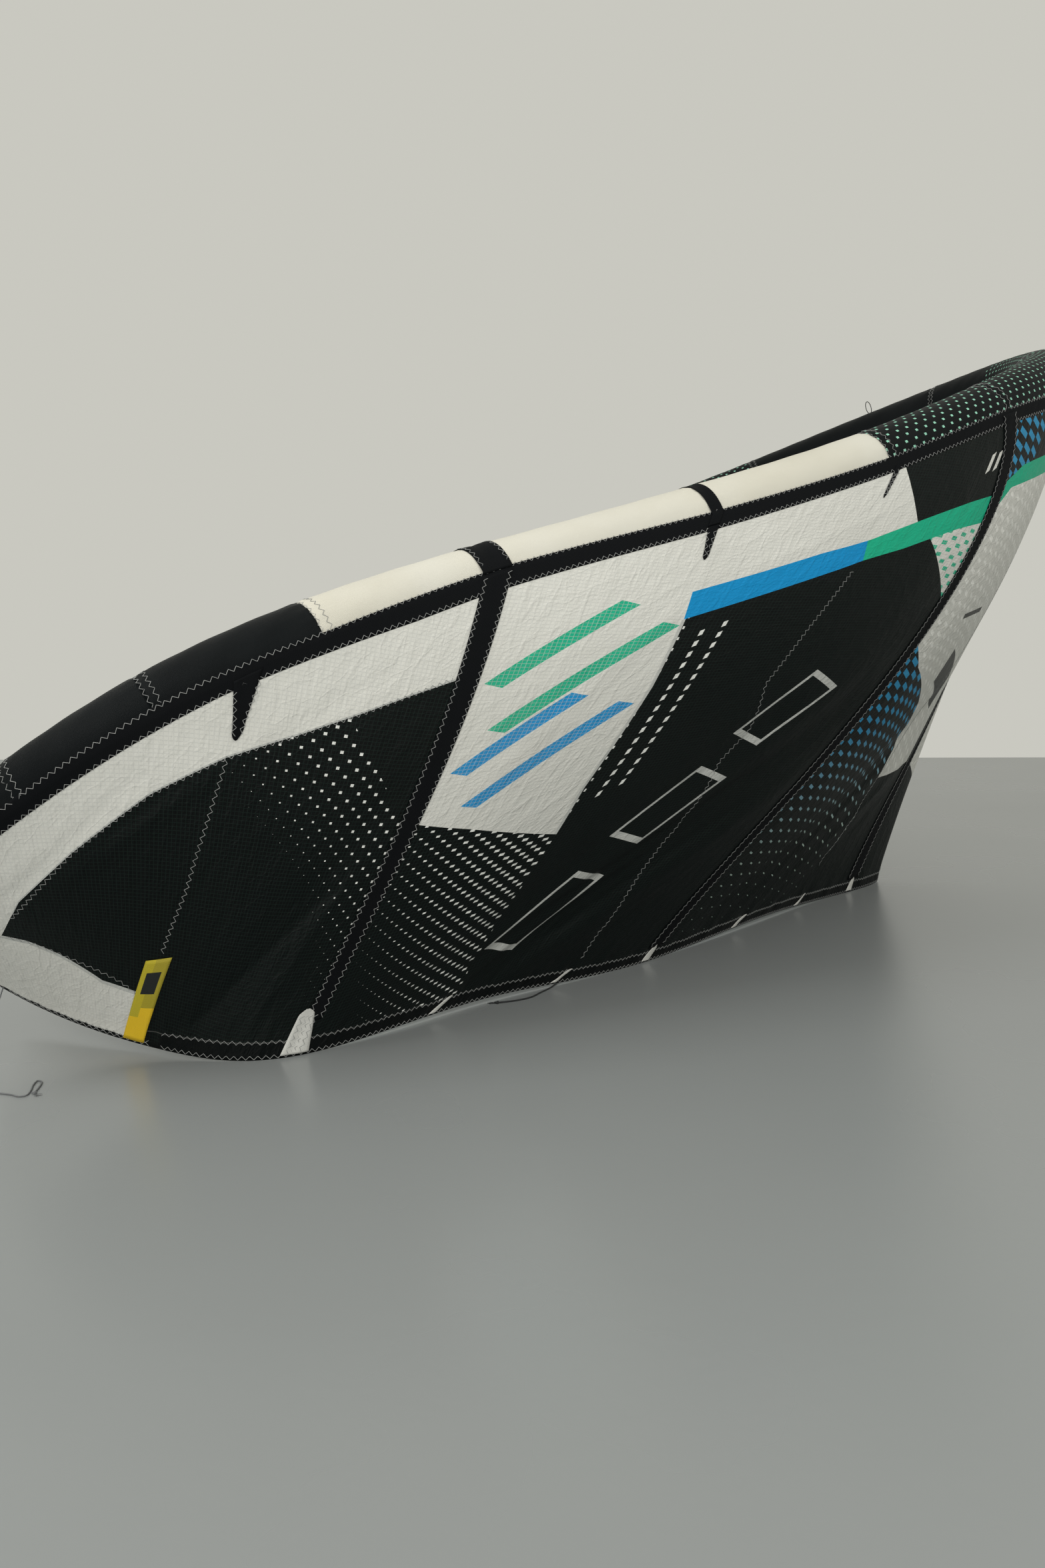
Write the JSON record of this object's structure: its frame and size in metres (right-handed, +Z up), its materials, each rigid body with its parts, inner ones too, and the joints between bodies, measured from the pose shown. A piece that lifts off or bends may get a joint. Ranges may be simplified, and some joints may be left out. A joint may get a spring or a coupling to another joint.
{
  "type": "kitesurfing kite",
  "caption": "Inflated kitesurfing kite standing on its trailing edge: an arched leading edge tube, inflated struts and a taut sail in colour blocks.",
  "frame": {"origin": "middle of the flat foot of the middle strut, on the floor", "axes": "+X the way the bulge of the arc points, +Z up, the half nearer to the picture's camera on -Y"},
  "size_m": [3.4798, 2.8032, 1.8844],
  "materials": {
    "canopy": "coated ripstop sail cloth with a fine grid weave, in black, cool white, blue and green blocks",
    "tube_black": "woven polyester tube cloth, near black, satin, with sewn seams",
    "tube_white": "woven polyester tube cloth, cream white, satin, with sewn seams",
    "trim_black": "black woven reinforcing tape with light zigzag stitching",
    "tab_white": "white woven webbing, stitched flat",
    "tab_yellow": "yellow woven webbing, stitched flat",
    "cord_grey": "braided polyester cord, dark grey"
  },
  "bodies": {
    "root": {"sail_centre_near": "canopy", "sail_mid_near": "canopy", "sail_tip_near": "canopy", "sail_centre_far": "canopy", "sail_mid_far": "canopy", "sail_tip_far": "canopy", "lead_0": "tube_black", "lead_1_near": "tube_black", "lead_2_near": "tube_black", "lead_3_near": "tube_white", "lead_4_near": "tube_white", "lead_5_near": "tube_white", "lead_6_near": "tube_black", "lead_7_near": "tube_black", "lead_1_far": "tube_black", "lead_2_far": "tube_black", "lead_3_far": "tube_white", "lead_4_far": "tube_white", "lead_5_far": "tube_white", "lead_6_far": "tube_black", "lead_7_far": "tube_black", "closing_strip": "trim_black", "strut_middle": "tube_black", "strut_inner_near": "tube_black", "strut_inner_far": "tube_black", "strut_outer_near": "tube_black", "strut_outer_far": "tube_black", "tape_middle": "trim_black", "tape_inner_near": "trim_black", "tape_inner_far": "trim_black", "tape_outer_near": "trim_black", "tape_outer_far": "trim_black", "wrap_outer_near": "trim_black", "wrap_outer_far": "trim_black", "finger_wide_near": "trim_black", "strap_near": "trim_black", "finger_slim_near": "trim_black", "finger_wide_far": "trim_black", "strap_far": "trim_black", "finger_slim_far": "trim_black", "tab_strut_middle": "tab_white", "tab_strut_inner_near": "tab_white", "tab_strut_inner_far": "tab_white", "tab_strut_outer_near": "tab_white", "tab_strut_outer_far": "tab_white", "tab_batten_a_near": "tab_white", "tab_batten_a_far": "tab_white", "tab_batten_b_near": "tab_white", "tab_batten_b_far": "tab_white", "tab_batten_c_near": "tab_white", "tab_batten_c_far": "tab_white", "tab_batten_d_near": "tab_white", "tab_batten_d_far": "tab_white", "tab_tip_near": "tab_yellow", "tab_tip_far": "tab_yellow", "loop_far": "cord_grey", "cord_tip_near": "cord_grey", "cord_bridle_near": "cord_grey", "cord_tip_far": "cord_grey", "cord_bridle_far": "cord_grey"}
  },
  "joints": []
}
